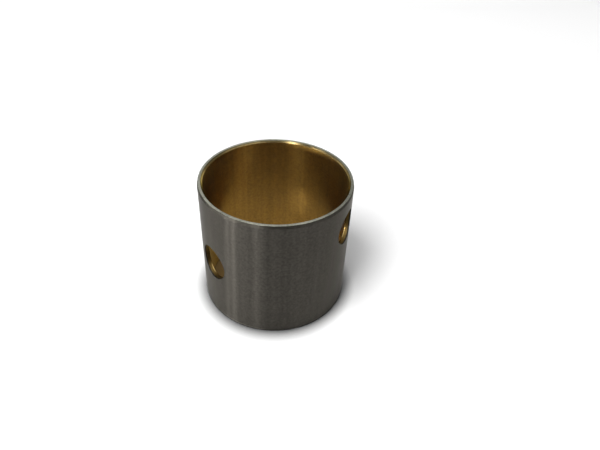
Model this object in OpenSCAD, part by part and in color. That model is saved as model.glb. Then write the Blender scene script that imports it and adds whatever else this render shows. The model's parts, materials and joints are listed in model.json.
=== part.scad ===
// Plain bearing bushing: a ring of steel lined with bronze, chamfered at both ends,
// with two round oil holes drilled through the wall.
// The bore runs along Z, the bottom end lies on Z = 0, and the front oil hole faces -Y.

/* [Wall] */
// Outside diameter of the steel shell
outside_d = 50; // [36:0.5:90]
// Length from end to end
bush_length = 45; // [32:0.5:90]
// Thickness of the steel shell
steel_wall = 1.35; // [0.7:0.05:4]
// Thickness of the bronze lining
bronze_wall = 0.3; // [0.2:0.05:2]

/* [Ends] */
// Depth of the outside chamfer across the wall
outer_chamfer_depth = 0.25; // [0.1:0.05:1]
// Height of the outside chamfer along the shell
outer_chamfer_height = 1; // [0.1:0.05:3]
// Size of the 45 degree chamfer in each mouth of the bore
bore_chamfer = 0.6; // [0.1:0.05:1]

/* [Oil holes] */
// Diameter of both oil holes
oil_hole_d = 12; // [3:0.1:16]
// Height of the front oil hole's centre above the bottom end
front_hole_height = 21.5; // [10:0.25:35]
// Distance of the side oil hole's centre below the top end
side_hole_drop = 11.5; // [10:0.25:35]
// Angle round the bushing from the front oil hole to the side one
hole_spacing = 120; // [60:1:300]

/* [Hidden] */
$fn = 180;
outside_r = outside_d / 2;
// The surface where the bronze is bonded to the steel
bond_r = outside_r - steel_wall;
bore_r = bond_r - bronze_wall;
side_hole_height = bush_length - side_hole_drop;
// How far a drill runs on past the outside of the wall
drill_overrun = 2;

// The wall as it is turned, in radius and height: both layers, with a chamfer on each of its four edges
module turned_section() {
    polygon([
        [bore_r, bore_chamfer],
        [bore_r + bore_chamfer, 0],
        [outside_r - outer_chamfer_depth, 0],
        [outside_r, outer_chamfer_height],
        [outside_r, bush_length - outer_chamfer_height],
        [outside_r - outer_chamfer_depth, bush_length],
        [bore_r + bore_chamfer, bush_length],
        [bore_r, bush_length - bore_chamfer]
    ]);
}

// One layer of the wall, from one radius to another, revolved about the bore
module wall_layer(inner_r, outer_r) {
    rotate_extrude()
        intersection() {
            turned_section();
            translate([inner_r, 0])
                square([outer_r - inner_r, bush_length]);
        }
}

// A drill that enters square to the wall, at an angle from the front and a height above the bottom end
module oil_drill(turn, height) {
    rotate([0, 0, turn])
        translate([0, 0, height])
            rotate([90, 0, 0])
                cylinder(d = oil_hole_d, h = outside_r + drill_overrun);
}

// Both oil holes, which run through the steel and the bronze alike
module oil_holes() {
    oil_drill(0, front_hole_height);
    oil_drill(hole_spacing, side_hole_height);
}

// Steel backing, ground on the outside to press into a housing
module steel_shell() {
    color("#716e67")
        difference() {
            wall_layer(bond_r, outside_r);
            oil_holes();
        }
}

// Bronze lining, which the shaft runs in
module bronze_lining() {
    color("#a67c36")
        difference() {
            wall_layer(bore_r, bond_r);
            oil_holes();
        }
}

steel_shell();
bronze_lining();
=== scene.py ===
# %% [markdown]
# # A steel bushing lined with bronze
#
# A plain bearing bushing is a short sleeve. A ring of steel is pressed into a housing, and a layer of
# bronze inside it carries a turning shaft. Oil reaches the shaft through two holes in the wall.
# The solids come from the CAD model and stay fixed. This lesson rebuilds each of them as a finer
# surface with broken edges, gives both metals their finish, and sets up the light and the camera.

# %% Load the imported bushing
import json
import math
from collections import namedtuple

import bmesh
import bpy
import numpy as np
from mathutils import Matrix, Vector


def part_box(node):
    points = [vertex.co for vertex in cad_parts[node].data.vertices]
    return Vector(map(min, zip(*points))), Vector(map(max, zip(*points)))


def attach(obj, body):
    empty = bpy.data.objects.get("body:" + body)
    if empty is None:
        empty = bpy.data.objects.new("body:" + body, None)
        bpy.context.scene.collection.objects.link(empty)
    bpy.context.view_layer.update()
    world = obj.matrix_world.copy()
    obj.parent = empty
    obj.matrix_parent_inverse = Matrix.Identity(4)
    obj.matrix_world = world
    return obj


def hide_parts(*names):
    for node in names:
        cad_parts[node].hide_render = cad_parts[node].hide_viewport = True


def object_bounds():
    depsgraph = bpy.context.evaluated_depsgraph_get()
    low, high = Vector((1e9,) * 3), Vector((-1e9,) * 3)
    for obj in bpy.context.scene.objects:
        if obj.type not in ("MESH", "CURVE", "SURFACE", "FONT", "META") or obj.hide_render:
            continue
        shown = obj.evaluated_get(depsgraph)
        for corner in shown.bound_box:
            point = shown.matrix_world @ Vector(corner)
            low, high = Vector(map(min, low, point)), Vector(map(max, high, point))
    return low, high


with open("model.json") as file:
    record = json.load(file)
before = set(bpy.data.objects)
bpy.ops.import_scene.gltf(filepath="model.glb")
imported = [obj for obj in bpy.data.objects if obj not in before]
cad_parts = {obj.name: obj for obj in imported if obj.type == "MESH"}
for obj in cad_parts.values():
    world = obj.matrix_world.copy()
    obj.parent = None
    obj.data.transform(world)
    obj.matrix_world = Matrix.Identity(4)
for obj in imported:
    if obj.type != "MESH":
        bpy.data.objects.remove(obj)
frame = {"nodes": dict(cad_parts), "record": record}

MM = 0.001


def in_mm(box):
    """The two corners of a box in millimetres, to print."""
    return [[round(x / MM, 2) for x in corner] for corner in box]


cad_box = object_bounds()
print("CAD box:", in_mm(cad_box), "mm")

# %% [markdown]
# ## The sizes
#
# Every size is read from the model, so the surfaces fit the solids with nothing measured twice.
# The record's mounts hold the radii and the lengths of the true walls. What no mount says is found in a
# solid's own corners: the bronze is bonded to the steel at the lining's largest radius, and the end face
# lies between the radii of the shell's highest corners.

# %% Read the sizes
HAIR = 0.01 * MM
OilHole = namedtuple("OilHole", "turn height radius")


def radii_and_heights(node):
    """Each corner of a CAD solid as its distance from the bore's axis and its height."""
    mesh = frame["nodes"][node].data
    corners = np.empty(3 * len(mesh.vertices), np.float32)
    mesh.vertices.foreach_get("co", corners)
    x, y, z = corners.reshape(-1, 3).astype(float).T
    return np.hypot(x, y), z


def read_hole(mount):
    """A radial hole's turn from the front, its height and its radius."""
    x, y, _ = mount["axis"]
    return OilHole(math.atan2(x, -y), mount["pos_m"][2], mount["dims"]["r_mm"] * MM)


mounts = {mount["name"]: mount for mount in frame["record"]["mounts"]}
length = cad_box[1].z - cad_box[0].z
outside_r = mounts["outside"]["dims"]["r_mm"] * MM
bore_r = mounts["bore"]["dims"]["r_mm"] * MM
bond_r = radii_and_heights("bronze_lining")[0].max()
steel_radii, steel_heights = radii_and_heights("steel_shell")
end_face_radii = steel_radii[steel_heights > length - HAIR]
face_inner_r = end_face_radii.min()
face_outer_r = end_face_radii.max()
bond_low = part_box("bronze_lining")[0].z
bond_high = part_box("bronze_lining")[1].z
outer_chamfer_height = (length - mounts["outside"]["dims"]["length_mm"] * MM) / 2
bore_chamfer = (length - mounts["bore"]["dims"]["length_mm"] * MM) / 2
oil_holes = [read_hole(mounts[name]) for name in ("front_oil_hole", "side_oil_hole")]
for name, value in (("outside", outside_r), ("bond", bond_r), ("bore", bore_r)):
    print(name, "radius", round(value / MM, 3), "mm")
print("end face from", round(face_inner_r / MM, 3), "to", round(face_outer_r / MM, 3), "mm")

# %% [markdown]
# ## The camera
#
# The camera stands where the photographer stood. Its tilt, its roll and its distance were fitted to the
# outline of the bushing, and the bore's axis, at one height, falls on a known pixel of the picture.
# The eye is found by walking back from that point along the line of sight through that pixel.

# %% Place the camera
PICTURE = np.array([600, 450])
SENSOR_WIDTH = 36
focal_pixels = 508.9
heading = math.radians(50.4)
tilt = math.radians(38.73)
roll = math.radians(3.05)
sight_distance = 177.5 * MM
sight_point = np.array([0, 0, 21.25 * MM])
sight_pixel = np.array([275.4, 234.65])

back = np.array([math.sin(heading) * math.cos(tilt), -math.cos(heading) * math.cos(tilt), math.sin(tilt)])
level_right = np.array([math.cos(heading), math.sin(heading), 0])
level_up = np.cross(back, level_right)
right = math.cos(roll) * level_right + math.sin(roll) * level_up
up = np.cross(back, right)
across, down = (sight_pixel - PICTURE / 2) / focal_pixels
line_of_sight = across * right - down * up - back
eye = sight_point - sight_distance * line_of_sight / np.linalg.norm(line_of_sight)

camera_data = bpy.data.cameras.new("camera")
camera_data.sensor_width = SENSOR_WIDTH
camera_data.lens = SENSOR_WIDTH * focal_pixels / PICTURE[0]
camera_data.clip_start = 1 * MM
camera = bpy.data.objects.new("camera", camera_data)
turned = np.eye(4)
turned[:3, :3] = np.stack([right, up, back], axis=1)
turned[:3, 3] = eye
camera.matrix_world = Matrix(turned.tolist())
bpy.context.scene.collection.objects.link(camera)
bpy.context.scene.camera = camera
print("camera at", (eye / MM).round(1), "mm with a lens of", round(camera_data.lens, 2), "mm")

# %% [markdown]
# ## Surfaces from two parameters
#
# A turned part is a profile carried round an axis, so one helper turns a radius, a height and a turn
# into points. A profile drawn with sharp corners would look like paper. Real edges are broken by a file
# or a brush, so a second helper replaces each corner by a small arc. Short straight pieces beside each
# arc keep the shading of the flat faces true.

# %% Points on a turned part, and a profile with broken edges
ARC_STEPS = 5
SUPPORT = 0.04 * MM


def at(turn, radius, height):
    """Points at a turn from the front, -Y, counter-clockwise seen from above, at a radius and a height."""
    turn, radius, height = np.broadcast_arrays(turn, radius, height)
    return np.stack([radius * np.sin(turn), -radius * np.cos(turn), height], axis=-1)


def broken_path(corners, edge_radius):
    """The path through the corners, with an arc at each inner one. The arc touches both straights at
    edge_radius * tan(bend / 2) from the corner, and turns evenly about its centre in between."""
    corners = np.asarray(corners, float)
    path = [corners[:1]]
    for before, corner, after in zip(corners[:-2], corners[1:-1], corners[2:]):
        arrive = (corner - before) / np.linalg.norm(corner - before)
        leave = (after - corner) / np.linalg.norm(after - corner)
        bend = math.acos(arrive @ leave)
        reach = edge_radius * math.tan(bend / 2)
        start = corner - reach * arrive
        end = corner + reach * leave
        inward = (leave - arrive) / np.linalg.norm(leave - arrive)
        centre = corner + inward * edge_radius / math.cos(bend / 2)
        share = np.linspace(0, 1, ARC_STEPS + 1)[:, None]
        swung = np.sin((1 - share) * bend) * (start - centre) + np.sin(share * bend) * (end - centre)
        arc = centre + swung / math.sin(bend)
        path += [[start - SUPPORT * arrive], arc, [end + SUPPORT * leave]]
    path.append(corners[-1:])
    return np.concatenate(path)


sample = broken_path([[0, 0], [1, 0], [1, 1]], 0.1)
print("a broken corner has", len(sample), "points")

# %% [markdown]
# ## A wall with a hole through it
#
# A round hole in a round wall has a saddle-shaped rim. A cut through a plain grid would leave a ragged
# edge there, so the wall near a hole is a fan of rays instead: each ray runs from a point of the rim to a
# point of the border of a square stretch of wall. The stretches between the holes are plain grids, and
# the rays' ends on the border are the same points as theirs, so the seams close.

# %% Walls with holes, and the walls of holes
STRETCH = math.radians(30)
STEP = math.radians(1)
WALL_ROWS = 24
RAY_STEPS = 12
WHOLE_TURN = 2 * math.pi
shoulder = 0.5 * MM
wall_low = outer_chamfer_height + shoulder
wall_high = length - outer_chamfer_height - shoulder


def turns_between(start, end):
    """Evenly spaced turns from start to end, about one degree apart."""
    return np.linspace(start, end, round((end - start) / STEP) + 1)


def border_of(low, high):
    """The border of the stretch of wall round a hole, as turns from the hole and heights."""
    sweep = turns_between(-STRETCH, STRETCH)
    climb = np.linspace(low, high, WALL_ROWS + 1)
    side = np.full(WALL_ROWS, STRETCH)
    bottom = np.full(len(sweep), low)
    top = np.full(len(sweep) - 1, high)
    turn = np.concatenate([sweep, side, sweep[-2::-1], -side])
    height = np.concatenate([bottom, climb[1:], top, climb[-2::-1]])
    return turn, height


def ray_directions(hole):
    """The directions of the rays round a hole. Every wall uses the same ones, so that their rims can be
    joined point by point."""
    turn, height = border_of(wall_low, wall_high)
    return np.arctan2(height - hole.height, outside_r * turn)


def rim_of(hole, widened, radius):
    """The turn from the hole and the height of its rim on a wall of that radius, with the hole widened:
    a straight round hole of radius a meets the wall where radius * sin(turn) = a * cos(direction)."""
    direction = ray_directions(hole)
    hole_radius = hole.radius + widened
    turn = np.arcsin(hole_radius * np.cos(direction) / radius)
    return turn, hole.height + hole_radius * np.sin(direction)


def pierced_stretch(hole, radius, low, high, widened):
    """A stretch of wall round a hole: rays from the rim to the border, finer near the rim."""
    turn, height = border_of(low, high)
    rim_turn, rim_height = rim_of(hole, widened, radius)
    share = (np.linspace(0, 1, RAY_STEPS + 1) ** 2)[:, None]
    ray_turn = hole.turn + rim_turn + share * (turn - rim_turn)
    ray_height = rim_height + share * (height - rim_height)
    return at(ray_turn, radius, ray_height), np.stack([outside_r * ray_turn, ray_height], axis=-1)


def plain_stretch(start, end, radius, low, high):
    """A stretch of wall with no hole: an even grid of turns and heights."""
    turn, height = np.meshgrid(turns_between(start, end), np.linspace(low, high, WALL_ROWS + 1))
    return at(turn, radius, height), np.stack([outside_r * turn, height], axis=-1)


def hole_wall(hole, widened, radius):
    """The wall of a hole: its rim at each step of a path of widenings and radii."""
    radius = radius[:, None]
    turn, height = rim_of(hole, widened[:, None], radius)
    around = np.broadcast_to(hole.radius * np.unwrap(ray_directions(hole)), turn.shape)
    depth = np.broadcast_to(radius, turn.shape)
    return at(hole.turn + turn, radius, height), np.stack([around, depth], axis=-1)


def holes_and_gaps():
    """Each hole, with the turns at which the plain wall after it starts and ends."""
    for hole, following in zip(oil_holes, oil_holes[1:] + oil_holes[:1]):
        carried = WHOLE_TURN if following.turn <= hole.turn else 0
        yield hole, hole.turn + STRETCH, following.turn - STRETCH + carried


def whole_wall(radius, low, high, widened):
    """All stretches of one wall, pierced and plain, round the whole turn."""
    stretches = []
    for hole, gap_start, gap_end in holes_and_gaps():
        stretches.append(pierced_stretch(hole, radius, low, high, widened))
        stretches.append(plain_stretch(gap_start, gap_end, radius, low, high))
    return stretches


def all_turns():
    """The turns at which the stretches' borders meet the ends, round the whole turn."""
    turns = []
    for hole, gap_start, gap_end in holes_and_gaps():
        turns.append(turns_between(hole.turn - STRETCH, gap_start)[:-1])
        turns.append(turns_between(gap_start, gap_end)[:-1])
    turns.append([oil_holes[0].turn - STRETCH + WHOLE_TURN])
    return np.concatenate(turns)


def revolved(path):
    """A profile of radii and heights carried round the whole turn; the lay runs round, the path across."""
    turn, radius = np.meshgrid(all_turns(), path[:, 0])
    height = np.broadcast_to(path[:, 1:], turn.shape)
    steps = np.linalg.norm(np.diff(path, axis=0), axis=1)
    travelled = path[0, 1] + np.concatenate([[0], np.cumsum(steps)])
    across_lay = np.broadcast_to(travelled[:, None], turn.shape)
    return at(turn, radius, height), np.stack([outside_r * turn, across_lay], axis=-1)


print("a pierced stretch has", len(ray_directions(oil_holes[0])), "rays")

# %% [markdown]
# ## From grids to a closed piece
#
# Each surface is a grid of points, and each cell of the grid is a face. The grids of one piece are put
# into one mesh, their shared borders are merged, and the faces are turned outwards. Every corner keeps a
# place in a UV map, in metres: U follows the lay, the way in which the tool marks run, and V crosses it.

# %% Build a mesh from grids
SHARP = math.radians(40)
MERGE_DISTANCE = 0.001 * MM


def piece_from_grids(name, grids):
    """One closed mesh from a list of grids. Each has its points, its lay coordinates, and the number of
    one finish for the whole grid or of a finish for each of its rows."""
    points, lay, faces, finishes = [], [], [], []
    count = 0
    for grid, grid_lay, finish in grids:
        rows, columns = grid.shape[:2]
        number = count + np.arange(rows * columns).reshape(rows, columns)
        cell_corners = [number[:-1, :-1], number[:-1, 1:], number[1:, 1:], number[1:, :-1]]
        points.append(grid.reshape(-1, 3))
        lay.append(grid_lay.reshape(-1, 2))
        faces.append(np.stack(cell_corners, axis=-1).reshape(-1, 4))
        finishes.append(np.broadcast_to(np.reshape(finish, (-1, 1)), (rows - 1, columns - 1)).ravel())
        count += rows * columns
    faces = np.concatenate(faces)
    mesh = bpy.data.meshes.new(name)
    mesh.from_pydata(np.concatenate(points), [], faces)
    lay_map = mesh.uv_layers.new(name="lay")
    lay_map.data.foreach_set("uv", np.concatenate(lay)[faces.ravel()].astype(np.float32).ravel())
    mesh.polygons.foreach_set("material_index", np.concatenate(finishes).astype(np.int32))
    shell = bmesh.new()
    shell.from_mesh(mesh)
    bmesh.ops.remove_doubles(shell, verts=shell.verts, dist=MERGE_DISTANCE)
    bmesh.ops.recalc_face_normals(shell, faces=shell.faces)
    open_edges = sum(edge.is_boundary for edge in shell.edges)
    shell.to_mesh(mesh)
    shell.free()
    mesh.shade_smooth()
    mesh.set_sharp_from_angle(angle=SHARP)
    piece = bpy.data.objects.new(name, mesh)
    bpy.context.scene.collection.objects.link(piece)
    print(name, "has", len(mesh.vertices), "points and", open_edges, "open edges")
    return piece


def mirrored(path):
    """A profile of the top end, turned over to make the bottom end."""
    return np.stack([path[:, 0], length - path[:, 1]], axis=-1)


def quarter_round(size):
    """A quarter circle from the wall into a hole: how much wider than the hole each point is, and how far
    in."""
    swing = np.linspace(0, math.pi / 2, ARC_STEPS + 1)
    return size * (1 - np.sin(swing)), size * (1 - np.cos(swing))


# %% [markdown]
# ## The steel shell
#
# The shell is ground round the outside and turned on its ends. A lead-in chamfer at each end lets it
# start into the housing. The chamfer in the mouth of the bore runs through the lining and ends in the
# steel. The outer rim of each hole is slightly rounded, and the wall behind it has two bands, which get
# finishes of their own below. The ends are revolved profiles, the outside and the bonded face are pierced
# walls, and the two walls are joined by the wall of each hole.

# %% Make the steel shell
GROUND, TURNED, LEAD_IN, SMEARED, SHADE_PAINTED_BAND, BRONZE_PAINTED_BAND = range(6)
shell_edge = 0.1 * MM
hole_edge = 0.12 * MM
# How far the outer band of each hole's wall reaches in; that band is painted shade.
shade_painted_depth = 0.45 * MM

shell_end = broken_path(
    [
        [outside_r, wall_high],
        [outside_r, length - outer_chamfer_height],
        [face_outer_r, length],
        [face_inner_r, length],
        [bond_r, bond_high],
    ],
    shell_edge,
)
row_radius = (shell_end[1:, 0] + shell_end[:-1, 0]) / 2
end_finish = np.select(
    [row_radius > outside_r - HAIR, row_radius > face_outer_r, row_radius > face_inner_r],
    [GROUND, LEAD_IN, TURNED],
    SMEARED,
)
shell_grids = [(*revolved(shell_end), end_finish), (*revolved(mirrored(shell_end)), end_finish)]
shell_grids += [(*wall, GROUND) for wall in whole_wall(outside_r, wall_low, wall_high, hole_edge)]
shell_grids += [(*wall, GROUND) for wall in whole_wall(bond_r, bond_low, bond_high, 0)]
wider, deeper = quarter_round(hole_edge)
straight = [outside_r - hole_edge - SUPPORT, outside_r - shade_painted_depth, bond_r]
shell_path = np.concatenate([outside_r - deeper, straight])
shell_widened = np.concatenate([wider, [0, 0, 0]])
# The outer band of each hole's wall is painted shade; the band within it is a painted bronze reflection.
hole_finish = np.where(shell_path[1:] < outside_r - shade_painted_depth - HAIR, BRONZE_PAINTED_BAND, SHADE_PAINTED_BAND)
shell_grids += [(*hole_wall(hole, shell_widened, shell_path), hole_finish) for hole in oil_holes]
steel_shell = piece_from_grids("ground_steel_shell", shell_grids)
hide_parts("steel_shell")
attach(steel_shell, "root")

# %% [markdown]
# ## The bronze lining
#
# The lining is bored to size once it is bonded, and a chamfer in each mouth of the bore helps the shaft
# in. It is made as the shell is, from the inside out: its ends, its bore with the two holes, the face that
# is bonded to the steel, and the walls of the holes.

# %% Make the bronze lining
BORED, CHAMFERED, DRILLED = range(3)
lining_edge = 0.06 * MM
bore_hole_edge = 0.12 * MM

lining_end = broken_path(
    [
        [bond_r, bond_high],
        [bore_r, length - bore_chamfer],
        [bore_r, wall_high],
    ],
    lining_edge,
)
in_the_bore = np.isclose(lining_end[1:, 0], bore_r) & np.isclose(lining_end[:-1, 0], bore_r)
mouth_finish = np.where(in_the_bore, BORED, CHAMFERED)
lining_grids = [(*revolved(lining_end), mouth_finish), (*revolved(mirrored(lining_end)), mouth_finish)]
lining_grids += [(*wall, BORED) for wall in whole_wall(bore_r, wall_low, wall_high, bore_hole_edge)]
lining_grids += [(*wall, BORED) for wall in whole_wall(bond_r, bond_low, bond_high, 0)]
wider, deeper = quarter_round(bore_hole_edge)
lining_path = np.concatenate([bore_r + deeper, [bore_r + bore_hole_edge + SUPPORT, bond_r]])
lining_widened = np.concatenate([wider, [0, 0]])
lining_grids += [(*hole_wall(hole, lining_widened, lining_path), DRILLED) for hole in oil_holes]
bronze_lining = piece_from_grids("bored_bronze_lining", lining_grids)
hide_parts("bronze_lining")
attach(bronze_lining, "root")

# %% [markdown]
# ## Two metals
#
# Grinding and boring leave fine lines that run round the part. Light scatters across such lines and hardly
# along them, so a lamp shows as an upright streak. The shader does this with anisotropy: the UV map gives
# it the lay, and a quarter turn stretches the reflection across it. Noise that is drawn out along the lay
# makes the lines, a broad noise the uneven colour of handled metal, and a fine one its grain. A last one,
# drawn out along the bore, adds faint streaks from end to end: painted reflections in the colour.

# %% Shader helpers
FIRST_COLOUR, SECOND_COLOUR = 6, 7
MIXED_COLOUR = 2


def new_node(tree, kind, **settings):
    """A node of that kind, with its properties or its input values set by name."""
    node = tree.nodes.new(kind)
    for name, value in settings.items():
        if hasattr(node, name):
            setattr(node, name, value)
        else:
            node.inputs[name].default_value = value
    return node


def feed(tree, socket, value):
    """Sets a socket to a number or a colour, or links another node's output to it."""
    if isinstance(value, bpy.types.NodeSocket):
        tree.links.new(value, socket)
    elif isinstance(value, tuple):
        socket.default_value = (*value, 1)
    else:
        socket.default_value = value


def maths(tree, operation, first, second):
    """A maths node; each side is a number or another node's output."""
    node = new_node(tree, "ShaderNodeMath", operation=operation)
    feed(tree, node.inputs[0], first)
    feed(tree, node.inputs[1], second)
    return node.outputs[0]


def spread(tree, value, low, high, start=0.0, end=1.0):
    """A value between start and end, brought to the range from low to high."""
    node = new_node(tree, "ShaderNodeMapRange")
    for name, number in (("From Min", start), ("From Max", end), ("To Min", low), ("To Max", high)):
        node.inputs[name].default_value = number
    tree.links.new(value, node.inputs["Value"])
    return node.outputs["Result"]


def mixed_colour(tree, share, first, second, blend="MIX"):
    """A mix of two colours by a share; each colour is three numbers or another node's output."""
    node = new_node(tree, "ShaderNodeMix", data_type="RGBA", blend_type=blend)
    feed(tree, node.inputs["Factor"], share)
    feed(tree, node.inputs[FIRST_COLOUR], first)
    feed(tree, node.inputs[SECOND_COLOUR], second)
    return node.outputs[MIXED_COLOUR]


def own_place(tree):
    """The place of a point in the object's own space, in metres."""
    return new_node(tree, "ShaderNodeTexCoord").outputs["Object"]


def noise_at(tree, place, scale, detail, roughness):
    """Noise from 0 to 1 at a place, with features about 1 / scale apart."""
    node = new_node(tree, "ShaderNodeTexNoise", Scale=scale, Detail=detail, Roughness=roughness)
    tree.links.new(place, node.inputs["Vector"])
    return node.outputs["Fac"]


# %% Lines, blotches, grain and painted reflection streaks
LINE_LENGTH = 12 * MM
LINE_DETAIL = 3
BLOTCH_SIZE = 5 * MM
BLOTCH_DETAIL = 4
GRAIN_SIZE = 0.8 * MM
GRAIN_DETAIL = 1
PAINTED_STREAK_WIDTH = 1.3 * MM
PAINTED_STREAK_LENGTH = 150 * MM
PAINTED_STREAK_DETAIL = 1
ROUGHNESS_SWING = 0.015
QUARTER_TURN = 0.25


def lay_lines(tree, width):
    """Noise drawn out along the lay, in lines of that width in metres."""
    place = new_node(tree, "ShaderNodeSeparateXYZ")
    lay = new_node(tree, "ShaderNodeUVMap", uv_map="lay")
    lay_place = new_node(tree, "ShaderNodeSeparateXYZ")
    tree.links.new(own_place(tree), place.inputs[0])
    tree.links.new(lay.outputs["UV"], lay_place.inputs[0])
    stretched = new_node(tree, "ShaderNodeCombineXYZ")
    tree.links.new(maths(tree, "DIVIDE", place.outputs["X"], LINE_LENGTH), stretched.inputs["X"])
    tree.links.new(maths(tree, "DIVIDE", place.outputs["Y"], LINE_LENGTH), stretched.inputs["Y"])
    tree.links.new(maths(tree, "DIVIDE", lay_place.outputs["Y"], width), stretched.inputs["Z"])
    return noise_at(tree, stretched.outputs[0], 1.0, LINE_DETAIL, roughness=0.6)


def blotches(tree, size, detail):
    """Even noise in the part's own space, with features of that size in metres."""
    return noise_at(tree, own_place(tree), 1 / size, detail, roughness=0.55)


def painted_reflection_streaks(tree):
    """Painted reflection streaks: noise drawn out along the bore, from end to end, a millimetre or two
    wide.
    """
    stretched = new_node(tree, "ShaderNodeVectorMath", operation="MULTIPLY")
    stretched.inputs[1].default_value = (1 / PAINTED_STREAK_WIDTH, 1 / PAINTED_STREAK_WIDTH, 1 / PAINTED_STREAK_LENGTH)
    tree.links.new(own_place(tree), stretched.inputs[0])
    return noise_at(tree, stretched.outputs[0], 1.0, PAINTED_STREAK_DETAIL, roughness=0.5)


def metal(name, colour, edge_tint, roughness, anisotropy, swing, grain, line_width, line_depth, painted_streak=0.0):
    """A metal with a lay. Its colour swings by a share with the lines and the blotches, by another with the
    grain and by a third with the painted reflection streaks along the bore. Its roughness swings with the
    lines and the blotches too, and the lines stand out by line_depth metres."""
    material = bpy.data.materials.new(name)
    material.use_nodes = True
    tree = material.node_tree
    shader = tree.nodes["Principled BSDF"]
    shader.inputs["Metallic"].default_value = 1
    shader.inputs["Specular Tint"].default_value = (*edge_tint, 1)
    shader.inputs["Anisotropic"].default_value = anisotropy
    shader.inputs["Anisotropic Rotation"].default_value = QUARTER_TURN
    tangent = new_node(tree, "ShaderNodeTangent", direction_type="UV_MAP", uv_map="lay")
    tree.links.new(tangent.outputs[0], shader.inputs["Tangent"])
    lines = lay_lines(tree, line_width)
    lines_and_blotches = maths(tree, "ADD", lines, blotches(tree, BLOTCH_SIZE, BLOTCH_DETAIL))
    uneven = maths(tree, "MULTIPLY", lines_and_blotches, 0.5)
    speckle = spread(tree, blotches(tree, GRAIN_SIZE, GRAIN_DETAIL), 1 - grain, 1 + grain)
    shade = maths(tree, "MULTIPLY", spread(tree, uneven, 1 - swing, 1 + swing), speckle)
    # Painted reflection: faint upright streaks darken and lighten the colour.
    if painted_streak:
        shade = maths(tree, "MULTIPLY", shade, spread(tree, painted_reflection_streaks(tree), 1 - painted_streak, 1 + painted_streak))
    tree.links.new(mixed_colour(tree, 1, colour, shade, "MULTIPLY"), shader.inputs["Base Color"])
    worn = spread(tree, uneven, roughness - ROUGHNESS_SWING, roughness + ROUGHNESS_SWING)
    tree.links.new(worn, shader.inputs["Roughness"])
    bump = new_node(tree, "ShaderNodeBump", Strength=1.0, Distance=line_depth)
    tree.links.new(lines, bump.inputs["Height"])
    tree.links.new(bump.outputs[0], shader.inputs["Normal"])
    print(name, "is written as", [round(c, 3) for c in colour])
    return material


# %% [markdown]
# ## The steel's finishes
#
# Seen from the side, ground steel mirrors the paper it stands on, so its colour is what makes it dark or
# light. The end faces are turned, and their colour is written much paler: a painted reflection of the
# bright space above them. The lead-in chamfer is dark and dull. Where the chamfer of the bore ends in the
# steel, the tool has smeared some bronze over it. In each hole the steel's wall is written in a bronze
# colour, a painted reflection of the bronze bore, and its outer band is written almost black, as painted
# shade.

# %% Finish the steel
steel_edge = (0.71, 0.7, 0.67)
bronze_edge = (0.95, 0.85, 0.5)
steel_finishes = [
    metal(
        "ground steel", (0.0497, 0.0457, 0.0393), steel_edge, roughness=0.28, anisotropy=1.0,
        swing=0.2, grain=0.35, line_width=0.25 * MM, line_depth=0.006 * MM, painted_streak=0.15,
    ),
    # Painted reflection: the end faces' colour is written much paler than the ground steel's.
    metal(
        "turned steel painted pale", (0.265, 0.267, 0.222), steel_edge, roughness=0.36, anisotropy=0.8,
        swing=0.3, grain=0.5, line_width=0.2 * MM, line_depth=0.01 * MM,
    ),
    metal(
        "lead-in steel", (0.053, 0.049, 0.041), steel_edge, roughness=0.46, anisotropy=1.0,
        swing=0.2, grain=0.3, line_width=0.2 * MM, line_depth=0.006 * MM,
    ),
    metal(
        "smeared bronze", (0.085, 0.068, 0.034), bronze_edge, roughness=0.25, anisotropy=0.5,
        swing=0.25, grain=0.4, line_width=0.2 * MM, line_depth=0.01 * MM,
    ),
    # Painted shade: the outer band of each hole's wall, written almost black.
    metal(
        "steel with painted shade", (0.03, 0.028, 0.024), steel_edge, roughness=0.5, anisotropy=0.0,
        swing=0.3, grain=0.3, line_width=0.2 * MM, line_depth=0.03 * MM,
    ),
    # Painted reflection: the steel inside each hole, written in a bronze colour.
    metal(
        "steel with painted bronze reflection", (0.11, 0.073, 0.024), bronze_edge, roughness=0.48, anisotropy=0.0,
        swing=0.3, grain=0.3, line_width=0.3 * MM, line_depth=0.03 * MM,
    ),
]
for finish in steel_finishes:
    steel_shell.data.materials.append(finish)

# %% [markdown]
# ## The bronze's finishes
#
# The bore is deep in colour, because most of the light in it has met the bronze more than once. A thin,
# dull coat stands for a trace of oil on it. The chamfer is cut with a sharper tool: it is written darker
# and smoother, and shows the lamps as short highlights. The edge of each hole is bare bronze with no lay.

# %% Finish the bronze
OIL_WEIGHT = 0.2
OIL_ROUGHNESS = 0.6
bronze_finishes = [
    metal(
        "bored bronze", (0.237, 0.134, 0.027), bronze_edge, roughness=0.33, anisotropy=0.88,
        swing=0.2, grain=0.35, line_width=0.2 * MM, line_depth=0.006 * MM, painted_streak=0.2,
    ),
    metal(
        "chamfered bronze", (0.15, 0.108, 0.043), bronze_edge, roughness=0.2, anisotropy=0.5,
        swing=0.25, grain=0.4, line_width=0.2 * MM, line_depth=0.01 * MM,
    ),
    metal(
        "drilled bronze", (0.25, 0.175, 0.065), bronze_edge, roughness=0.22, anisotropy=0.0,
        swing=0.3, grain=0.3, line_width=0.3 * MM, line_depth=0.02 * MM,
    ),
]
oiled = bronze_finishes[BORED].node_tree.nodes["Principled BSDF"]
oiled.inputs["Coat Weight"].default_value = OIL_WEIGHT
oiled.inputs["Coat Roughness"].default_value = OIL_ROUGHNESS
for finish in bronze_finishes:
    bronze_lining.data.materials.append(finish)

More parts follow.
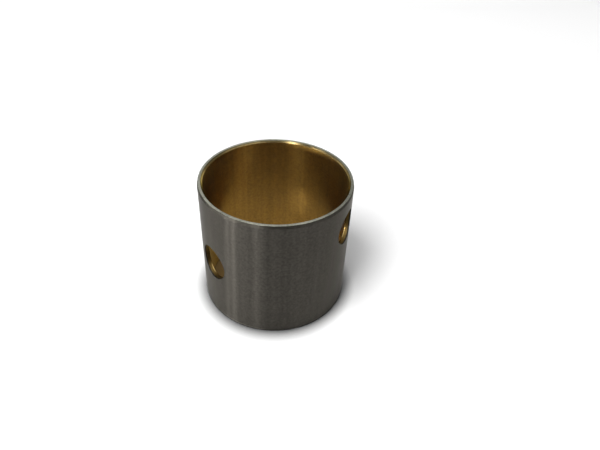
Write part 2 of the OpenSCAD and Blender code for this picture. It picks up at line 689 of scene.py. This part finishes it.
# %% [markdown]
# ## The floor
#
# The bushing stands on plain white paper, which is lit to an even level, so the background comes out white
# and the shadow stays. Close to the steel the paper darkens quickly. Ambient occlusion, which measures how
# much of the space above a point is blocked, gives that dark line. It leans a little away from the camera,
# so the line is stronger in front. Inside the bushing the light has come off the bronze, so the shade of
# the paper is golden there. The camera sees both shades in full, and metal mirrors the outer one faintly.

# %% Lay the floor
FLOOR_SIZE = 4.0
SHADE_SAMPLES = 16
paper_white = (0.95, 0.95, 0.95)
shade_outside = (0.03, 0.03, 0.03)
shade_in_metal = 0.3
shade_inside = (0.244, 0.173, 0.077)
leans_towards = heading + math.radians(-170)
lean = math.radians(9)
contact_reach = 8 * MM
contact_dark = 0.42
contact_clear = 0.84
enclosed_reach = 20 * MM
enclosed_dark = 0.75
least_shade_inside = 0.6

floor_corners = FLOOR_SIZE * np.array([[-1, -1, 0], [1, -1, 0], [1, 1, 0], [-1, 1, 0]])
floor_mesh = bpy.data.meshes.new("floor")
floor_mesh.from_pydata(floor_corners, [], [(0, 1, 2, 3)])
floor = bpy.data.objects.new("floor", floor_mesh)
bpy.context.scene.collection.objects.link(floor)

paper = bpy.data.materials.new("white paper")
paper.use_nodes = True
tree = paper.node_tree
shader = tree.nodes["Principled BSDF"]
shader.inputs["Roughness"].default_value = 1
shader.inputs["Specular IOR Level"].default_value = 0
leaning = new_node(
    tree,
    "ShaderNodeCombineXYZ",
    X=math.sin(lean) * math.sin(leans_towards),
    Y=-math.sin(lean) * math.cos(leans_towards),
    Z=math.cos(lean),
)
contact = new_node(tree, "ShaderNodeAmbientOcclusion", samples=SHADE_SAMPLES, Distance=contact_reach)
tree.links.new(leaning.outputs[0], contact.inputs["Normal"])
outside_shade = spread(tree, contact.outputs["AO"], 1, 0, contact_dark, contact_clear)
enclosed = new_node(tree, "ShaderNodeAmbientOcclusion", samples=SHADE_SAMPLES, Distance=enclosed_reach)
inside_shade = spread(tree, enclosed.outputs["AO"], 1, least_shade_inside, enclosed_dark, 1.0)
from_axis = new_node(tree, "ShaderNodeVectorMath", operation="LENGTH")
tree.links.new(own_place(tree), from_axis.inputs[0])
around = maths(tree, "GREATER_THAN", from_axis.outputs["Value"], bond_r)
rays = new_node(tree, "ShaderNodeLightPath").outputs
mirrored_rays = maths(tree, "ADD", rays["Is Glossy Ray"], rays["Is Transmission Ray"])
mirrored_shade = maths(tree, "MULTIPLY", mirrored_rays, shade_in_metal)
seen_shade = maths(tree, "ADD", rays["Is Camera Ray"], mirrored_shade)
outside_share = maths(tree, "MULTIPLY", seen_shade, outside_shade)
inside_share = maths(tree, "MULTIPLY", rays["Is Camera Ray"], inside_shade)
outside_paper = mixed_colour(tree, outside_share, paper_white, shade_outside)
inside_paper = mixed_colour(tree, inside_share, paper_white, shade_inside)
paper_colour = mixed_colour(tree, around, inside_paper, outside_paper)
tree.links.new(paper_colour, shader.inputs["Base Color"])
floor_mesh.materials.append(paper)
print("paper of", 2 * FLOOR_SIZE, "m, written as", paper_white)

# %% [markdown]
# ## The light
#
# Lamps are given as a photographer would place them: a direction from the camera's side, a height above
# the horizon, how wide and how tall they look from the bushing, and how bright they are. The ceiling lights
# everything. The paper lamp lights only the paper and gives the shadow. The strips, tubes and cards are
# only there to be mirrored in the metal, so they don't light the paper and cast no shadow on it. The low
# strips draw the upright streaks on the steel, and hardly any of their light gets into the bore.

# %% Hang the lamps
LAMP_DISTANCE = 2.0
AREA_LAMP_SPREAD = 4
WORLD_GLOW = 0.02


def softbox(name, azimuth, elevation, wide, tall, brightness, lights_paper=True, mirrored_in_metal=True):
    """A rectangular lamp that faces the bushing. The azimuth is from the camera, to the right of the
    picture, and all angles are in degrees. Its power is its brightness times its area, times four for the
    way that an area lamp spreads."""
    turn = heading + math.radians(azimuth)
    lift = math.radians(elevation)
    flat = LAMP_DISTANCE * math.cos(lift)
    place = Vector((flat * math.sin(turn), -flat * math.cos(turn), LAMP_DISTANCE * math.sin(lift)))
    data = bpy.data.lights.new(name, "AREA")
    data.shape = "RECTANGLE"
    data.size = 2 * LAMP_DISTANCE * math.tan(math.radians(wide) / 2)
    data.size_y = 2 * LAMP_DISTANCE * math.tan(math.radians(tall) / 2)
    data.energy = AREA_LAMP_SPREAD * brightness * data.size * data.size_y
    lamp = bpy.data.objects.new(name, data)
    lamp.location = place
    lamp.rotation_euler = place.to_track_quat("Z", "Y").to_euler()
    lamp.visible_diffuse = lights_paper
    lamp.visible_glossy = mirrored_in_metal
    bpy.context.scene.collection.objects.link(lamp)
    print(name, "gives", round(data.energy, 2), "W")


softbox("ceiling", 0, 88, 50, 50, 1.7)
softbox("paper lamp", -43, 57, 28, 28, 10.2, mirrored_in_metal=False)
for card_name, *setting in (
    ("outer front tube", -33, 58, 3.5, 20, 21),
    ("inner front tube", -25, 58, 3.5, 20, 14),
    ("far left strip", -82, 2.5, 32, 4, 30),
    ("outer left strip", -62, 2.5, 3, 4, 185),
    ("inner left strip", -52.5, 2.5, 3, 4, 195),
    ("wide left strip", -43, 2.5, 24, 4, 29),
    ("front strip", -21, 2.5, 12, 4, 38),
    ("left tube", -80, 47, 3.5, 34, 6),
    ("high left tube", -66, 42, 3, 8, 28),
    ("key box", -55, 58, 30, 30, 0.4),
    ("left card", -100, 30, 40, 40, 0.95),
    ("back left card", -150, 30, 60, 40, 0.9),
    ("low back left card", -140, 8, 50, 14, 0.25),
    ("high back card", 180, 58, 60, 20, 0.25),
    ("low back right card", 140, 8, 50, 14, 1.9),
    ("back right card", 120, 30, 50, 40, 0.45),
    ("high back right card", 115, 60, 40, 24, 1.1),
    ("high right card", 64, 60, 24, 24, 1.35),
    ("right card", 70, 30, 50, 40, 0.62),
):
    softbox(card_name, *setting, lights_paper=False)

world = bpy.data.worlds.new("studio")
world.use_nodes = True
world.node_tree.nodes["Background"].inputs["Color"].default_value = (1, 1, 1, 1)
world.node_tree.nodes["Background"].inputs["Strength"].default_value = WORLD_GLOW
bpy.context.scene.world = world
bpy.context.scene.view_settings.view_transform = "Standard"
